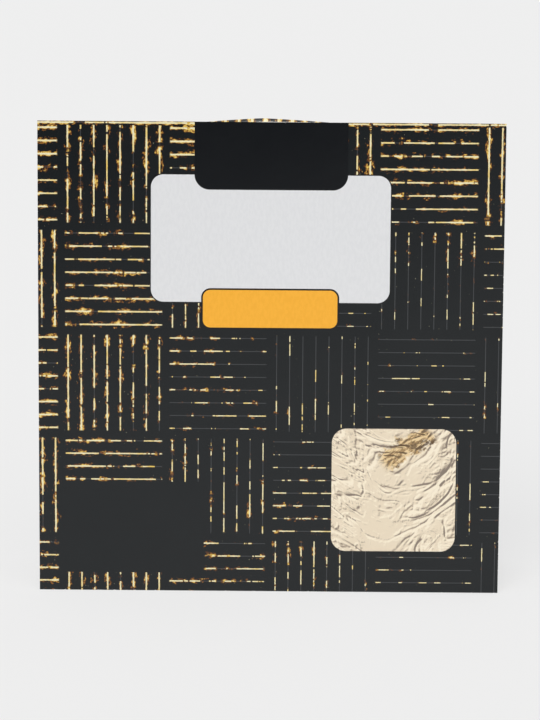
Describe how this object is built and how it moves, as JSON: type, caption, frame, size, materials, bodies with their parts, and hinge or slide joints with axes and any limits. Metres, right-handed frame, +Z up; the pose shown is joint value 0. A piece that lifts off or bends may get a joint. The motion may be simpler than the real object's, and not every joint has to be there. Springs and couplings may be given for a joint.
{
  "type": "gold leaf booklet",
  "caption": "Booklet of metal leaf for gilding: a card cover creased at the top stands astride over tissue pages glued in the fold, with a loose square leaf between them.",
  "frame": {"origin": "middle of the space between the two free edges of the cover, on the surface it stands on", "axes": "+Z up, +X along the fold to the front's right, +Y from the front cover to the back cover"},
  "size_m": [0.16, 0.0364, 0.1631],
  "materials": {
    "cover_card": "satin",
    "glue": "satin",
    "tissue": "matte",
    "metal_leaf": "polished"
  },
  "bodies": {
    "back": {"back_cover": "cover_card", "cover_fold": "cover_card", "glue_line": "glue"},
    "front": {"front_cover": "cover_card"},
    "page_1": {"tissue_1": "tissue"},
    "page_2": {"tissue_2": "tissue"},
    "page_3": {"tissue_3": "tissue"},
    "page_4": {"tissue_4": "tissue"},
    "page_5": {"tissue_5": "tissue"},
    "page_6": {"tissue_6": "tissue"},
    "loose_leaf_1": {"leaf_1": "metal_leaf"},
    "loose_leaf_2": {"leaf_2": "metal_leaf"},
    "loose_leaf_3": {"leaf_3": "metal_leaf"},
    "loose_leaf_4": {"leaf_4": "metal_leaf"},
    "loose_leaf_5": {"leaf_5": "metal_leaf"}
  },
  "joints": [
    {"name": "cover_turn", "type": "hinge", "parent": "back", "child": "front", "pos_m": [0, 0.00025, 0.16217], "axis": [-1, 0, 0], "range_deg": [-12, 168]},
    {"name": "page_1_turn", "type": "hinge", "parent": "back", "child": "page_1", "pos_m": [0, 0.00025, 0.16217], "axis": [-1, 0, 0], "range_deg": [-10.29, 144]},
    {"name": "page_2_turn", "type": "hinge", "parent": "back", "child": "page_2", "pos_m": [0, 0.00025, 0.16217], "axis": [-1, 0, 0], "range_deg": [-8.57, 120]},
    {"name": "page_3_turn", "type": "hinge", "parent": "back", "child": "page_3", "pos_m": [0, 0.00025, 0.16217], "axis": [-1, 0, 0], "range_deg": [-6.86, 96]},
    {"name": "page_4_turn", "type": "hinge", "parent": "back", "child": "page_4", "pos_m": [0, 0.00025, 0.16217], "axis": [-1, 0, 0], "range_deg": [-5.14, 72]},
    {"name": "page_5_turn", "type": "hinge", "parent": "back", "child": "page_5", "pos_m": [0, 0.00025, 0.16217], "axis": [-1, 0, 0], "range_deg": [-3.43, 48]},
    {"name": "page_6_turn", "type": "hinge", "parent": "back", "child": "page_6", "pos_m": [0, 0.00025, 0.16217], "axis": [-1, 0, 0], "range_deg": [-1.72, 24]},
    {"name": "leaf_1_slide", "type": "slide", "parent": "page_2", "child": "loose_leaf_1", "axis": [1, 0, 0], "range_m": [-0.14, 0.14]},
    {"name": "leaf_2_slide", "type": "slide", "parent": "page_3", "child": "loose_leaf_2", "axis": [1, 0, 0], "range_m": [-0.14, 0.14]},
    {"name": "leaf_3_slide", "type": "slide", "parent": "page_4", "child": "loose_leaf_3", "axis": [1, 0, 0], "range_m": [-0.14, 0.14]},
    {"name": "leaf_4_slide", "type": "slide", "parent": "page_5", "child": "loose_leaf_4", "axis": [1, 0, 0], "range_m": [-0.14, 0.14]},
    {"name": "leaf_5_slide", "type": "slide", "parent": "page_6", "child": "loose_leaf_5", "axis": [1, 0, 0], "range_m": [-0.14, 0.14]}
  ],
  "couplings": [
    {"joint": "page_1_turn", "follows": "cover_turn", "ratio": 0.85714},
    {"joint": "page_2_turn", "follows": "cover_turn", "ratio": 0.71429},
    {"joint": "page_3_turn", "follows": "cover_turn", "ratio": 0.57143},
    {"joint": "page_4_turn", "follows": "cover_turn", "ratio": 0.42857},
    {"joint": "page_5_turn", "follows": "cover_turn", "ratio": 0.28571},
    {"joint": "page_6_turn", "follows": "cover_turn", "ratio": 0.14286}
  ]
}
